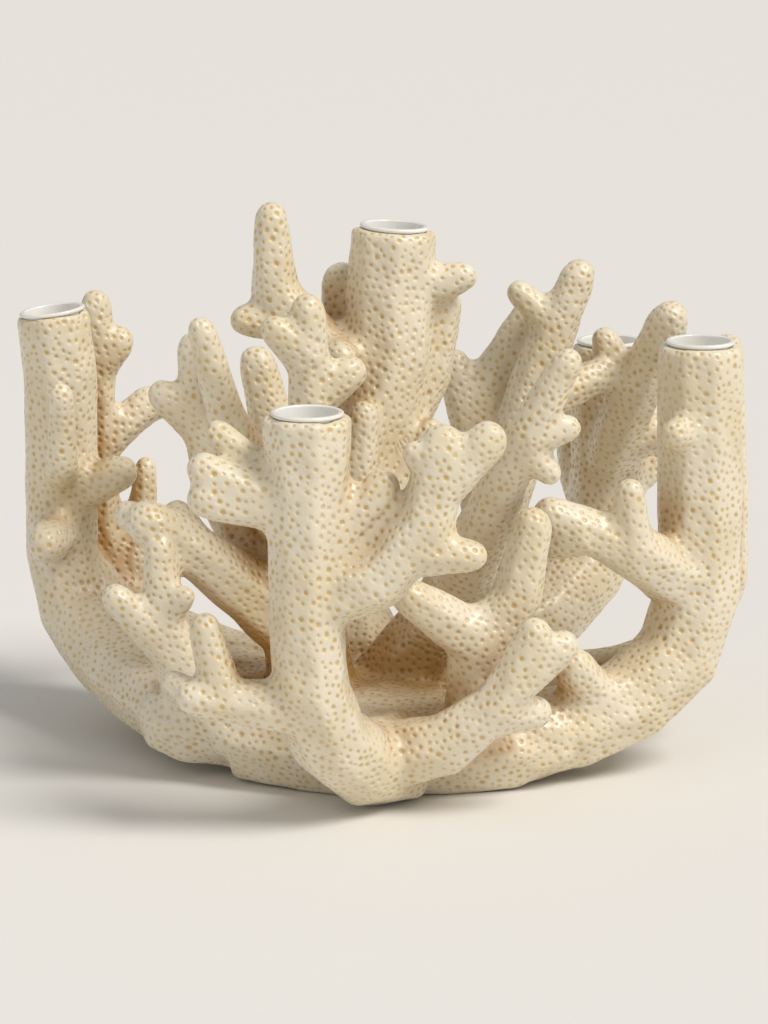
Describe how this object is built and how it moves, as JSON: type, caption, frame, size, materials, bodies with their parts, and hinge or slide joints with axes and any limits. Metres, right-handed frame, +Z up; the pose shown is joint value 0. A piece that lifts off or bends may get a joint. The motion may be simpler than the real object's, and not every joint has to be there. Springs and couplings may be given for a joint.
{
  "type": "coral candle holder",
  "caption": "Free-standing branching coral candle holder: upright coral arms rise from a low base, and the thick ones hold enamelled cups for taper candles.",
  "frame": {"origin": "in the flat underside of the base, on the plane that the holder stands on", "axes": "+Z up, out of the candle cups; +X to the right and +Y to the back, seen from the front arm's side"},
  "size_m": [0.2963, 0.2554, 0.2244],
  "materials": {
    "resin": "satin",
    "enamel": "gloss"
  },
  "bodies": {
    "root": {"base_root": "resin", "front_arm": "resin", "left_arm": "resin", "right_arm": "resin", "rear_right_arm": "resin", "centre_arm": "resin", "rear_arm": "resin", "left_rear_stem": "resin", "right_rear_stem": "resin", "centre_left_limb": "resin", "front_right_branch": "resin", "front_low_left_branch": "resin", "front_low_right_branch": "resin", "left_twig_cluster": "resin", "hand_branch": "resin", "centre_front_twig": "resin", "inner_left_branch": "resin", "inner_left_stem": "resin", "long_finger_stem": "resin", "fork_stem": "resin", "inner_right_branch": "resin", "right_left_branch": "resin", "twin_tip_stem": "resin", "tall_rear_stem": "resin", "cup_front": "enamel", "cup_left": "enamel", "cup_centre": "enamel", "cup_right": "enamel", "cup_rear_right": "enamel"}
  },
  "joints": []
}
